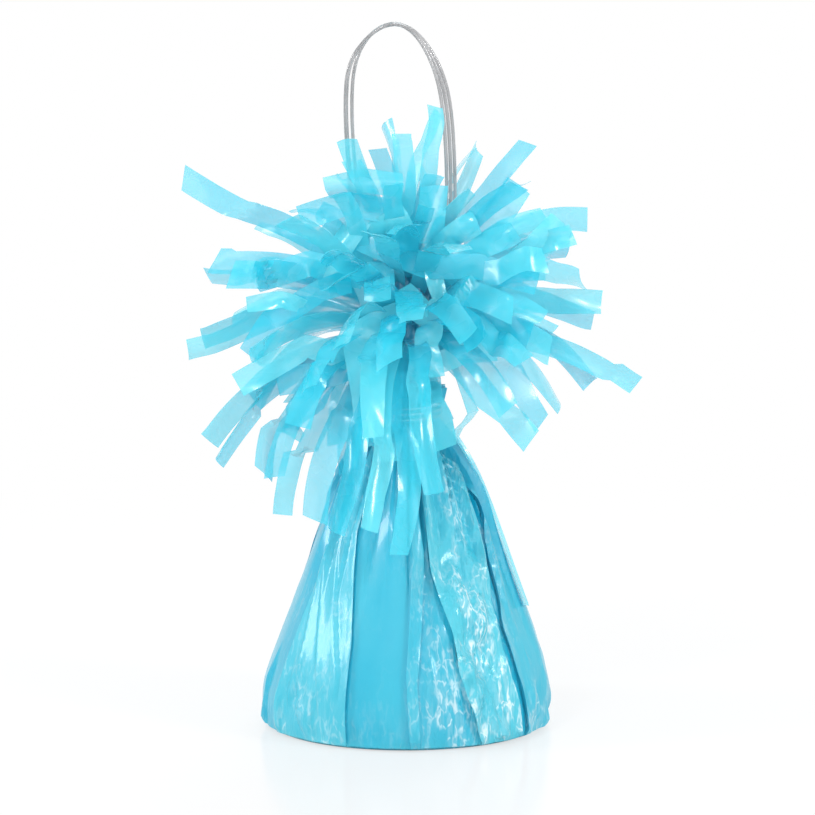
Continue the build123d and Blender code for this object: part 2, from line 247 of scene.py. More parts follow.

# %% [markdown]
# ## Film of the sack
# The sack is cast polypropylene film, pearly light blue and glossy. It is nearly opaque where it lies double over
# the white cup. The eye sees a saturated cyan with white glints on every crease. The large creases are modelled, and
# a bump adds the fine crackle between them. Glints are also painted into the colour as thin white lines: the edges
# of bent cells, broken up by fibres and kept to clusters.

# %% Gathered film materials
crackle_size, crackle_depth = 1.2 * mm, 0.42 * mm
fibre_width, fibre_share = 0.9 * mm, 0.6
# cells of the painted glints and how far they are bent, and the size of the glints' clusters
glint_cell_size, glint_cell_bend = 2.6 * mm, 5 * mm
glint_cluster_size = 5 * mm
cloud_size = 14 * mm
cloud_range = (0.3, 0.7)  # where most of the clouds' noise lies


def gathered_film(name, deep, pale):
    """Pearly film. Its tone attribute makes it paler, and its crinkle attribute shows more crackle and painted glints.
    """
    material, shader, place = start_material(name)
    drawn = stretch(place, scale=(1, 1, 0.45))  # the gathers draw textures out upwards
    crinkle = point_value(shader, "crinkle")
    clouds = noise(drawn, cloud_size, detail=3)
    fibres = noise(stretch(place, scale=(1, 1, 0.16)), fibre_width)
    crackle = noise(drawn, crackle_size, distortion=0.6, noise_type="RIDGED_MULTIFRACTAL")
    tint = calc("ADD", point_value(shader, "tone"), remap(clouds, cloud_range, (-0.2, 0.2)), clamp=True)
    warp = noise(drawn, glint_cell_size, output="Color")
    slanted = stretch(place, scale=(1, 1, 0.5), turn=(0, 0.35, 0))
    bent = add_node(warp, "VectorMath", {0: warp, 1: [glint_cell_bend] * 3, 2: slanted}, operation="MULTIPLY_ADD")
    cells = {"Vector": bent.outputs["Vector"], "Scale": 1 / glint_cell_size}
    glint_cell_edges = add_node(bent, "TexVoronoi", cells, feature="DISTANCE_TO_EDGE").outputs["Distance"]
    glint_lines = remap(glint_cell_edges, (0.02, 0.12), (1, 0.2))
    breaks = remap(fibres, (0.4, 0.58), (0.05, 1))
    clusters = remap(noise(drawn, glint_cluster_size, detail=1), (0.4, 0.6), (0, 0.95))
    # white is the share of painted glints: thin white lines in the colour along the cells' edges
    white = calc("MULTIPLY", calc("MULTIPLY", glint_lines, breaks), clusters)
    white = calc("MULTIPLY", white, crinkle, clamp=True)
    rough = calc("MULTIPLY_ADD", fibres, fibre_share, crackle)
    film_look = {
        "Base Color": blend(white, blend(tint, deep, pale), "E6F8FB"),
        "Roughness": remap(clouds, cloud_range, (0.3, 0.46)),
        "Normal": bump(calc("MULTIPLY", crinkle, rough), 1, crackle_depth),
        "IOR": 1.49,
        "Specular IOR Level": 0.4,
        "Coat Weight": 0.4,
        "Coat Roughness": 0.12,
    }
    set_inputs(shader, film_look)
    return material


sack_film = gathered_film("pearly_polypropylene_film", "02ABCC", "4CC6DA")
# the head's film is the same film painted darker: painted shade for the stem and knob under the strips
painted_shade_film = gathered_film("polypropylene_film_painted_shade", "17789A", "2FA3C0")
print("materials", sack_film.name, "and", painted_shade_film.name)

# %% [markdown]
# ## Film sack
# The sack is a bag of thin film: flat under the weight, round the hem, up the cone in pleats and pinched at the
# neck. A cloth simulation could gather it, but the photograph's own folds have to stand where they are, so a flat
# grid is rolled up row by row. Columns of the grid follow the folds down the cone, so that each fold has a sharp
# edge with a dark groove under it. Between two folds lies a nearly flat panel, which gets its creases. Near the neck
# the film is gathered more and more, in small knife-like pleats.

# %% Helpers for film
crumple_bend, crumple_rate = 0.35, 1.7


def film_grid(name, columns, rows):
    """A flat grid of one by one, with columns along x and rows along y, and the places of its points."""
    bpy.ops.object.select_all(action="DESELECT")
    bpy.ops.mesh.primitive_grid_add(x_subdivisions=columns, y_subdivisions=rows, size=1)
    grid = bpy.context.object
    grid.name = grid.data.name = name
    places = np.zeros(len(grid.data.vertices) * 3)
    grid.data.vertices.foreach_get("co", places)
    return grid, places.reshape(-1, 3)


def set_points(piece, places):
    """Moves a piece's points to these places."""
    piece.data.vertices.foreach_set("co", np.asarray(places, np.float32).ravel())
    piece.data.update()


def set_values(piece, name, values):
    """Stores a value with each of a piece's points, where its material finds it by this name."""
    layer = piece.data.attributes.new(name, "FLOAT", "POINT")
    layer.data.foreach_set("value", np.asarray(values, np.float32))


def rolled_up(around, radius, height):
    """Places at these angles round the axis, starting at the front."""
    return np.column_stack([radius * np.sin(around), -radius * np.cos(around), height])


def crumple(places, length, seed, creases=8):
    """Heights from -1 to 1 of crumpled film at these places: flat facets that meet in straight creases."""
    dice = np.random.default_rng(seed)
    waves = np.sin(places[:, ::-1] / length * crumple_rate + dice.uniform(0, 6, places.shape[1]))
    warped = places + crumple_bend * length * waves
    heights = np.zeros(len(places))
    for _ in range(creases):
        way = dice.normal(size=places.shape[1])
        span = length * dice.uniform(0.6, 2.2)
        run = warped @ (way / np.linalg.norm(way)) / span + dice.uniform()
        heights += span / length * (4 * np.abs(run - np.round(run)) - 1)
    return heights / creases


def finish_film(piece, thickness, material, angle=40):
    """Closes seams, turns faces outwards, gives the film its thickness and smooths all but sharp creases."""
    bpy.ops.object.select_all(action="DESELECT")
    piece.select_set(True)
    bpy.context.view_layer.objects.active = piece
    bpy.ops.object.mode_set(mode="EDIT")
    bpy.ops.mesh.select_all(action="SELECT")
    bpy.ops.mesh.remove_doubles(threshold=0.004 * mm)
    bpy.ops.mesh.normals_make_consistent(inside=False)
    bpy.ops.object.mode_set(mode="OBJECT")
    middle = sum((face.center for face in piece.data.polygons), Vector()) / len(piece.data.polygons)
    if sum(face.area * face.normal.dot(face.center - middle) for face in piece.data.polygons) < 0:
        piece.data.flip_normals()
    wall = piece.modifiers.new("wall", "SOLIDIFY")
    wall.thickness = thickness
    wall.offset = -1
    bpy.ops.object.modifier_apply(modifier=wall.name)
    bpy.ops.object.shade_smooth_by_angle(angle=math.radians(angle))
    piece.data.materials.clear()
    piece.data.materials.append(material)


# %% Cone and pleats of the sack, in millimetres
tie_low, tie_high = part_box("neck_tie")
# height and mean radius of the film up the cone
cone_form = [(0.9, 31.0), (3, 31.7), (10.5, 30.9), (20.3, 28.0), (32.9, 23.4), (51.8, 16.2), (61, 11.9), (66, 8.4)]
cone_foot, cone_top = cone_form[0][0], cone_form[-1][0]
# height and depth of the gathers there
pleat_form = [(0, 0), (22, 0.25), (34, 0.5), (46, 0.95), (56, 1.5), (63, 1.7), (68, 0.9), (74, 1.2)]
pleat_count = 30
pleat_drift = 0.8  # the power by which pleats drift from their angles at the hem to those at the neck
pleat_fade = 18  # a pleat grows to its full depth over this height
dice = np.random.default_rng(5)
pleat_turns = np.linspace(-np.pi, np.pi, pleat_count, endpoint=False)
neck_angles = pleat_turns + dice.uniform(-0.07, 0.07, pleat_count)
hem_angles = pleat_turns + dice.uniform(-0.09, 0.09, pleat_count)
crest_shares = dice.choice([0.15, 0.25, 0.75, 0.85], pleat_count)
crest_depths = dice.uniform(0.5, 1.3, pleat_count)
valley_depths = dice.uniform(0.5, 1.2, pleat_count)
fade_heights = dice.uniform(8, 46, pleat_count)


def pleat_at(angles, height):
    """How far the pleats push the film out at these angles round the axis, at this height."""
    share = np.clip(height / cone_top, 0, 1) ** pleat_drift
    edges = hem_angles + (neck_angles - hem_angles) * share
    edges = np.append(edges, edges[0] + 2 * np.pi)
    turned = (angles - edges[0]) % (2 * np.pi) + edges[0]
    pleat = np.clip(np.searchsorted(edges, turned, side="right") - 1, 0, pleat_count - 1)
    along = (turned - edges[pleat]) / (edges[pleat + 1] - edges[pleat])
    fade = np.clip((height - fade_heights) / pleat_fade, 0, 1)
    valleys = -valley_depths * fade
    crests = crest_depths * fade
    crest = crest_shares[pleat]
    start, end = valleys[pleat], valleys[(pleat + 1) % pleat_count]
    rising, falling = along / crest, (1 - along) / (1 - crest)
    shape = np.where(along < crest, start + (crests[pleat] - start) * rising, end + (crests[pleat] - end) * falling)
    return shape * np.interp(height, *zip(*pleat_form))


# %% Folds, panels and creases of the sack
# folds of the film over itself, from the photograph: depth, width and raised side, and then the fold's line
# down the cone as pairs of height in millimetres and angle from the front in degrees
front_folds = [
    (0.5, 6, 1, [(62, -46), (47, -53), (36, -57), (26, -60), (13, -63), (4, -65)]),
    (1.0, 7, -1, [(62, -27), (46, -33), (23, -25), (0, -23.5)]),
    (0.9, 3, 1, [(60, 1), (41, 3.5), (17, 0), (0, 1.6)]),
    (0.9, 3, -1, [(60, 7), (42, 10.8), (25, 7), (15, 4.6), (0, 5.7)]),
    (1.2, 8, 1, [(65, 10), (51, 12.5), (38, 14), (25, 21.7), (17, 22.7), (1, 30.5)]),
    (1.0, 6, -1, [(62, 47), (52, 54), (26, 46.5), (2, 51.7)]),
    (0.9, 5, 1, [(60, 58), (50, 62), (25, 51.5), (2, 55.5)]),
    (1.0, 6, -1, [(58, 82), (43, 84.8), (16, 78), (3, 76)]),
]
# the back's folds are drawn by chance
back_fold_count = 10
back_folds = []
for turn in np.linspace(100, 252, back_fold_count):
    line_angles = turn + np.cumsum(dice.uniform(-2.5, 2.5, 4))
    fold_form = (dice.uniform(0.6, 1.3), dice.uniform(3, 8), dice.choice([-1, 1]))
    back_folds.append((*fold_form, list(zip([63, 44, 22, dice.uniform(0, 8)], line_angles))))
folds = front_folds + back_folds
# tone and crinkle of the panel to the right of each fold
# the front's tones are painted light and shade: deep for a panel in shade, pale for one with a bright sheen
front_panels = [(0.75, 0.35), (0.45, 0.04), (0.5, 0.35), (0.35, 0.4), (0.9, 1), (0.1, 0.2), (0.5, 0.35), (0.4, 0.4)]
back_panels = list(zip(dice.uniform(0.1, 0.8, back_fold_count - 1), dice.uniform(0.1, 0.9, back_fold_count - 1)))
panels = front_panels + back_panels + [(0.2, 0.15)]
# soft creases that cross a panel, in the same form as the folds
creases = [
    (0.7, 2.5, 1, [(46, -58), (30, -56), (9.5, -51), (4, -49)]),
    (0.6, 2.5, 1, [(50, -56), (38.7, -54.6), (13.7, -40), (8, -38)]),
    (0.5, 3, -1, [(50, -47), (42.5, -45.7), (16.7, -29.5), (12, -29)]),
    (0.5, 3, -1, [(20, 12), (10, 14), (2, 20)]),
    (0.6, 2.5, 1, [(48, 34), (30, 31), (14, 38), (4, 42)]),
    (0.6, 2.5, -1, [(50, 70), (30, 64), (12, 66), (4, 68)]),
    (0.9, 8, -1, [(17, -76), (8, -79), (1, -81)]),
]
# patches where the film is crumpled most: height, angle and reach
patches = [(6, -52, 6), (9, 15, 5), (11, 34, 6), (24, 32, 6), (5, 66, 5)]
patches += [(8, 120, 8), (10, 190, 8), (6, 235, 7), (36, 32, 8)]
line_overrun = 3  # folds and creases go on this far past the ends of their lines, in millimetres
top_fade, foot_fade = 8, 4  # and they die away over these heights
crease_edge = 1.3  # the film turns over at a crease within this width
groove_depth, groove_width = 0.4, 1.5
patch_squash = 0.7
print(len(folds), "folds,", len(creases), "creases and", len(patches), "crumpled patches")


def crease_at(degrees, height, radius, depth, width, side, line):
    """How far one crease pushes the film out: a step along its line, which dies away on the raised side."""
    heights, angles = np.array(line).T
    line_angle = np.interp(height, heights[::-1], angles[::-1])
    away = side * radius * np.radians((degrees - line_angle + 180) % 360 - 180)
    fade = np.clip((heights[0] + line_overrun - height) / top_fade, 0, 1)
    fade = fade * np.clip((height - heights[-1] + line_overrun) / foot_fade, 0, 1)
    step = np.clip(away / crease_edge + 0.5, 0, 1)
    step = step * step * (3 - 2 * step)
    raised = np.exp(-np.maximum(away, 0) / width)
    groove = -groove_depth * np.exp(np.minimum(away, 0) / groove_width)
    return depth * fade * (groove + (raised - groove) * step)


def patch_at(degrees, height, radius, middle, angle, reach):
    """How much a patch of crumpled film round a point holds, from 0 to 1."""
    across = radius * np.radians((degrees - angle + 180) % 360 - 180)
    return np.exp(-(np.hypot(across, (height - middle) * patch_squash) / reach) ** 2)


# %% Path of the film
# from the middle of the underside to the collar's rim, as radius and height in millimetres
flat_radius, flat_rows, cone_rows = 28.6, 10, 84
underside = [(radius, 0.0) for radius in np.linspace(0, flat_radius, flat_rows)]
hem = [(29.5, 0.15), (30.2, 0.5)]
cone_heights = np.linspace(cone_foot, cone_top, cone_rows)
form_heights, form_radii = np.array(cone_form).T
cone_curve = np.polyfit(form_heights, form_radii, 5)
cone = list(zip(np.polyval(cone_curve, cone_heights), cone_heights))
# how far the film stands off its tightest radius, and how high, from the tie's middle and from the collar's rim
tie_form = [(0.8, -2.6), (0.1, -1.5), (0, 0), (0.1, 1.5), (0.7, 2.4)]
rim_form = [(1.2, -0.6), (1.3, 0)]
tie_wall = 1.35  # from the outside of the tie in to the film's tightest radius
tie_middle = (tie_low.z + tie_high.z) / 2 / mm
pinch_radius = tie_high.x / mm - tie_wall
collar_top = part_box("film_sack")[1].z / mm
pinch = [(pinch_radius + out, tie_middle + up) for out, up in tie_form]
pinch += [(pinch_radius + out, collar_top + up) for out, up in rim_form]
film_path = np.array(underside + hem + cone + pinch)
row_radius, row_height = film_path.T
side_from, side_ease = 0.1, 2.5  # folds begin at this height and are full this much higher
row_on_side = np.clip((row_height - side_from) / side_ease, 0, 1)
print("cone form off by", np.abs(np.polyval(cone_curve, form_heights) - form_radii).max().round(2), "mm")

# %% Columns of the sack
# how far the columns next to a fold stand from its line, flat and folded, and how high they are raised when folded
flat_steps = np.array([0.15, 0.4, 0.65, 0.9])
fold_steps = np.array([0.8, 0.4, 0.0, 0.5])
fold_rises = np.array([-0.1, 0.5, 1, 1])
columns_a_degree, least_columns = 0.85, 4
count_height = 10  # a panel's columns are counted out at this height
hem_gain, hem_reach = 0.25, 6  # folds stand off more towards the hem
fold_angles = np.array([np.interp(row_height, *np.array(line)[::-1].T) for *_, line in folds])
fold_angles = np.vstack([fold_angles, fold_angles[0] + 360])
fold_tops = np.array([line[:1] for *_, line in folds])[:, :, 0]
fold_fades = np.clip((fold_tops + line_overrun - row_height) / top_fade, 0, 1) * row_on_side
fold_fades = np.vstack([fold_fades, fold_fades[0]])
fold_depth = 1 + hem_gain * np.exp(-row_height / hem_reach)
end_count = len(flat_steps)
low_row = np.argmin(np.abs(row_height - count_height))
inner_counts = np.maximum(least_columns, np.rint(np.diff(fold_angles[:, low_row]) * columns_a_degree)).astype(int)
panel_counts = inner_counts + 2 * end_count
column_panel = np.repeat(np.arange(len(folds)), panel_counts)
column_place = np.concatenate([np.arange(count) for count in panel_counts])
sack_columns = len(column_panel)
sack, flat = film_grid("film_sack_gathered", sack_columns, len(film_path) - 1)
column = np.rint((flat[:, 0] + 0.5) * sack_columns).astype(int) % sack_columns
row = np.rint((flat[:, 1] + 0.5) * (len(film_path) - 1)).astype(int)
panel, place = column_panel[column], column_place[column]
last_place = panel_counts[panel] - 1 - place
base_radius = np.maximum(row_radius[row], 1e-3)
height = row_height[row]
on_side = row_on_side[row]
left_angle, right_angle = fold_angles[panel, row], fold_angles[panel + 1, row]
span = base_radius * np.radians(right_angle - left_angle)
print(sack_columns, "columns, narrowest panel", round(float((right_angle - left_angle).min()), 2), "degrees")

# %% Place of every column at every height
fold_room = 0.2  # the columns next to a fold take up this share of a panel at most
panel_flatness, hem_flatness, flat_reach = 0.5, 0.3, 8
sag_limit = 0.8
depths, widths, sides = np.array([fold[:3] for fold in folds + folds[:1]]).T
scale = np.minimum(1, fold_room * span / flat_steps[-1])
inner_share = (place - end_count + 1) / (inner_counts[panel] + 1)
from_left = flat_steps[-1] * scale + inner_share * (span - 2 * flat_steps[-1] * scale)
rise = np.zeros(len(flat))
for left_end in (True, False):
    fold = panel if left_end else panel + 1
    steps_in = np.minimum(place if left_end else last_place, end_count - 1)
    at_end = (place if left_end else last_place) < end_count
    raised_here = sides[fold] == (1 if left_end else -1)
    fade = fold_fades[fold, row] * raised_here
    step = (flat_steps[steps_in] + (fold_steps - flat_steps)[steps_in] * fade) * scale
    from_left = np.where(at_end, step if left_end else span - step, from_left)
    away = from_left if left_end else span - from_left
    plate = np.exp(-away / widths[fold]) * np.clip(1 - (away / span) ** 2, 0, 1)
    rise += depths[fold] * fade * fold_depth[row] * np.where(at_end, fold_rises[steps_in], plate)
across = np.clip(from_left / span, 0, 1)
degrees = left_angle + np.degrees(from_left / base_radius)
around = np.radians(degrees)
sag = base_radius * (1 - np.cos(np.radians(right_angle - left_angle) / 2))
flatness = on_side * (panel_flatness + hem_flatness * np.exp(-height / flat_reach))
radius = row_radius[row] + rise - flatness * np.minimum(sag, sag_limit) * 4 * across * (1 - across)
for number in range(len(underside), len(film_path)):
    here = row == number
    radius[here] += pleat_at(around[here], row_height[number])
for crease in creases:
    radius += on_side * crease_at(degrees, height, base_radius, *crease)

# %% Creases of the panels
# lengths are in millimetres, and the weights of panel, hem and patches in each sum are given
rough_length, coarse_length, fine_length, lift_length = 16, 8, 3, 6
# the film near the floor is painted paler, as painted light on the hem
wrinkle_reach, hem_light_reach = 5, 1.5  # how far up from the floor the film is wrinkled, and paler
weak_from, weak_ease, weak_least = 62, 6, 0.25  # creases grow weaker above this height
panel_tone, panel_crinkle = np.array(panels).T
crumpled = sum(patch_at(degrees, height, base_radius, *patch) for patch in patches)
rolled = rolled_up(around, radius, height)
squeezed = rolled * [1, 1, 0.4]  # creases run more up the cone than round it
low_wrinkles = np.exp(-height / wrinkle_reach)
rough_patches = np.clip(0.5 + 1.2 * crumple(squeezed, rough_length, 21), 0, 1)
rough = panel_crinkle[panel]
coarse = 0.1 + 0.6 * rough * (0.4 + 0.6 * rough_patches) + 1.2 * low_wrinkles + 1.0 * crumpled
fine = 0.03 + 0.6 * rough * rough_patches + 1.6 * low_wrinkles + 2.6 * crumpled
push = 0.8 * coarse * crumple(squeezed, coarse_length, 3) + 0.6 * fine * crumple(squeezed, fine_length, 4)
radius = radius + on_side * push * np.clip(1 - (height - weak_from) / weak_ease, weak_least, 1)
least = row_radius[row] - np.clip(height / 12, 0.25, 0.9)  # the film never goes into the cup
radius = np.where(row >= len(underside), np.maximum(radius, least), radius)
crinkle = np.clip(rough * (0.3 + 0.7 * rough_patches) + 0.25 * low_wrinkles + 0.4 * crumpled, 0, 1.1)
set_values(sack, "crinkle", crinkle)
# the tone holds painted light and shade: the front panels' tones, and the hem painted paler near the floor
set_values(sack, "tone", panel_tone[panel] + 0.5 * np.exp(-height / hem_light_reach))
lift = 0.25 * np.abs(crumple(rolled, lift_length, 9)) * (radius > 3)
lift = np.where(row < len(underside), lift, 0)
set_points(sack, rolled_up(around, radius, height + lift) * mm)

# %% Finish of the sack
film_thickness = 0.12 * mm
finish_film(sack, film_thickness, sack_film, angle=18)
sack_area = sum(face.area for face in sack.data.polygons) / 2
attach(sack, "weight")
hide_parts("film_sack")
print("sack of", len(sack.data.polygons), "faces, film area", round(sack_area * 1e6), "mm2")

# %% [markdown]
# ## Film head
# Above the tie the film is bunched into a stem and a crumpled knob, where the cuts of the fringe end. It is mostly
# hidden, but its stem shows dark and glossy between the strips, and its film is the sack's film painted darker as
# painted shade. A rolled grid again makes it: deep flutes run up it, and they close at the top.

# %% Film head
head_columns, head_rows = 180, 60
head_middle, head_half, head_radius = 92.0, 15.0, 10.4  # in millimetres
stem_radius = 5.4
stem_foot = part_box("film_head")[0].z / mm
head_heights = np.linspace(stem_foot, head_middle + head_half, head_rows)
dome = np.sqrt(np.clip(1 - ((head_heights - head_middle) / head_half) ** 2, 0, 1)) * head_radius
head_path = np.column_stack([np.where(head_heights < head_middle, np.maximum(dome, stem_radius), dome), head_heights])
head_path[0, 0] = 0
head, flat = film_grid("film_head_bunched", head_columns, len(head_path) - 1)
around = flat[:, 0] * 2 * np.pi
row = np.rint((flat[:, 1] + 0.5) * (len(head_path) - 1)).astype(int)
radius, height = head_path[row].T.copy()
flutes = 0.55 * np.abs(np.sin(7.5 * around + 0.12 * height)) + 0.45 * np.abs(np.sin(5 * around - 0.2 * height + 1))
squeezed = rolled_up(around, radius, height) * [1, 1, 0.5]
radius = radius * (0.78 + 0.2 * flutes + 0.05 * crumple(squeezed, 4, 11))
set_points(head, rolled_up(around, radius, height) * mm)
for name in ("crinkle", "tone"):
    set_values(head, name, np.full(len(flat), 0.5))
finish_film(head, film_thickness, painted_shade_film)
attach(head, "weight")
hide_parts("film_head")
print("head of", len(head.data.polygons), "faces")

# %% [markdown]
# ## Film of the strips
# The strips are the same film in a single layer, so light comes through them: one layer over a white room is pale,
# and two or three together are saturated. Each face of a strip lets part of the light pass, and the strip's tone
# is stored with its points so that no two strips are quite alike; the short strips' listed tones are painted light
# and shade. Faint lines run along the strip where the film was drawn.

# %% Strip film material
band_length, band_width = 45 * mm, 7 * mm  # of a CAD strip
draw_line, draw_run, draw_share = 0.9 * mm, 3, 0.1  # the lines' width, how many soft folds long they are, their depth
soft_fold, fold_bump = 6 * mm, 0.5 * mm
strip_film, shader, place = start_material("cut_polypropylene_film")
flat_place = add_node(shader, "TexCoord").outputs["UV"]
line_scale = (band_length / soft_fold / draw_run, band_width / draw_line, 1)
lines = noise(stretch(flat_place, line_scale), 1)
dents = noise(place, soft_fold, detail=1)
strip_look = {
    "Base Color": blend(point_value(shader, "tone"), "18D6EF", "68EDFB"),
    "Roughness": remap(dents, (0.3, 0.7), (0.2, 0.32)),
    "Normal": bump(calc("MULTIPLY_ADD", lines, draw_share, dents), 0.25, fold_bump),
    "Alpha": 0.5,
    "IOR": 1.49,
    "Specular IOR Level": 0.6,
    "Coat Weight": 0.9,
    "Coat Roughness": 0.12,
}
set_inputs(shader, strip_look)
print("material", strip_film.name)

# %% [markdown]
# ## Fringe strips
# Each strip of the CAD model is a plain bent band. Its centre line and the direction of its width are read back from
# its corners, and a flat strip of film, modelled once, is laid along that line. On the way it gets what film gets:
# a slight cup across, soft waves, an arch before the tip falls, a twist, a crease here and there and a tip cut not
# quite square. Most strips turn their faces some way to the front, and those at the back turn freely. Some groups
# are cut shorter or narrower.

# %% Reading the CAD strips
strip_width = 5.9 * mm
head_centre = np.array([0, 0, head_middle]) * mm
section_gap = 0.5 * mm


def strip_corners(node):
    """The corner points of each strip of a CAD node, as one array a strip."""
    shell = bmesh.new()
    shell.from_mesh(node.data)
    bmesh.ops.remove_doubles(shell, verts=shell.verts, dist=0.002 * mm)
    left, strips = set(shell.verts), []
    while left:
        strip, edge = set(), [min(left, key=lambda corner: corner.index)]
        while edge:
            corner = edge.pop()
            if corner not in strip:
                strip.add(corner)
                edge += [link.other_vert(corner) for link in corner.link_edges]
        left -= strip
        strips.append(np.array([corner.co for corner in sorted(strip, key=lambda corner: corner.index)]))
    shell.free()
    return strips


def steps_along(line):
    """How far along a line each of its points lies."""
    return np.concatenate([[0], np.cumsum(np.linalg.norm(np.diff(line, axis=0), axis=1))])


def strip_line(corners):
    """The cubic through a strip's centre line, root first, as coefficients, its length and its width direction."""
    reach = np.linalg.norm(corners - head_centre, axis=1)
    tip = corners[np.argmax(reach)]
    gaps = np.linalg.norm(corners - tip, axis=1)
    mate = corners[np.argmin(np.abs(gaps - band_width) + 0.2 * np.abs(reach - reach.max()))]
    across = (mate - tip) / np.linalg.norm(mate - tip)
    aside = corners @ across
    middle = corners - np.outer(aside - (aside.min() + aside.max()) / 2, across)
    root = middle[np.argmin(reach)]
    chord = middle[np.argmax(reach)] - root
    runs = (middle - root) @ chord / np.linalg.norm(chord)
    order = np.argsort(runs)
    breaks = np.nonzero(np.diff(runs[order]) > section_gap)[0] + 1
    line = np.array([middle[group].mean(axis=0) for group in np.split(order, breaks)])
    steps = steps_along(line)
    return np.polyfit(steps / steps[-1], line, 3), steps[-1], across


# %% One flat strip of film
strip_columns, strip_rows = 30, 6
strip_pattern, flat_strip = film_grid("strip_pattern", strip_columns, strip_rows)
strip_along, strip_across = flat_strip[:, 0] + 0.5, flat_strip[:, 1]
cup_form = 4 * strip_across**2 - 0.5
crumple_length, crumple_squeeze = 5, 1.6  # in millimetres, and how much closer creases lie across
neck_height, neck_ease = 70 * mm, 6 * mm  # strips keep off the sack below the neck
pleat_reach = 1.7  # the sack's folds and pleats stand out this far, in millimetres
print("strip pattern of", len(strip_pattern.data.polygons), "faces")


def unit(ways):
    """Directions of length one."""
    return ways / np.linalg.norm(ways, axis=1)[:, None]


def roll_strip(across, face, angles):
    """A strip's directions across and out of its face, turned about its line."""
    cos, sin = np.cos(angles)[:, None], np.sin(angles)[:, None]
    return across * cos + face * sin, face * cos - across * sin


def off_the_sack(places, stand=None):
    """The same places, with those inside the sack moved out to its surface. A strip with a stand lies that far off."""
    limit = (np.polyval(cone_curve, np.clip(places[:, 2] / mm, 0, cone_top)) + pleat_reach) * mm
    radius = np.hypot(places[:, 0], places[:, 1])
    below = np.clip((neck_height - places[:, 2]) / neck_ease, 0, 1)
    grow = 1 + below * ((np.maximum(radius, limit) if stand is None else limit + stand) / radius - 1)
    return places * np.column_stack([grow, grow, np.ones(len(places))])


def new_strip(name, places, tone):
    """A copy of the flat strip with its points at these places, kept off the sack, and one tone all over."""
    strip = bpy.data.objects.new(name, strip_pattern.data.copy())
    bpy.context.collection.objects.link(strip)
    set_points(strip, off_the_sack(places))
    set_values(strip, "tone", np.full(len(places), tone))
    return strip


# %% Laying one strip
root_reach = 0.08  # the strip's root reaches this share of its length into the head
root_width, taper_end = 0.8, 0.3
sack_side_height = 40 * mm  # a strip whose tip is lower lies along the sack
flap_stand, flap_lift = -1.2 * mm, 0.15
outer_from, turn_from, turn_ease = 0.35, 0.1, 0.4  # shares of the length where bends and the turn begin
# how far the strips of each level turn their faces to the front
face_shares = {"crown": 0.7, "upper": 0.35, "middle": 0.3, "lower": 0.3, "hanging": 0.9}
# the groups whose strips are cut shorter than the CAD strips, and how far they reach
trim_shares = {("crown", "left"): 0.8, ("crown", "front"): 0.95}
# the groups whose strips are narrower than the others
narrow_shares = {("hanging", "left"): 0.8}
# how high their middles arch before the tips fall, as a share of their length at most
arch_shares = {"crown": 0.02, "upper": 0.08, "middle": 0.14, "lower": 0.14, "hanging": 0}
# long strips are narrower and calmer and swing sideways, and the crown's are narrow and calm
long_from, long_to, calm_to = 34 * mm, 58 * mm, 50 * mm
crown_narrow, long_narrow = 0.75, 0.7
crown_calm, long_calm = 0.5, 0.35
swing_reach = 1.8 * mm
# spreads of the chances, in radians, in millimetres for the cup, or as shares of a strip's width or length
tip_slant, kink_slant, free_turn, twist_spread, cup_spread = 0.28, 0.5, 1.4, 0.35, 0.5
kink_spread, veer_spread, curl_spread, sweep_spread = 0.028, 0.024, 0.065, 0.035
kink_count = 3
dent_depths = [0.04, 0.08, 0.14, 0.35]


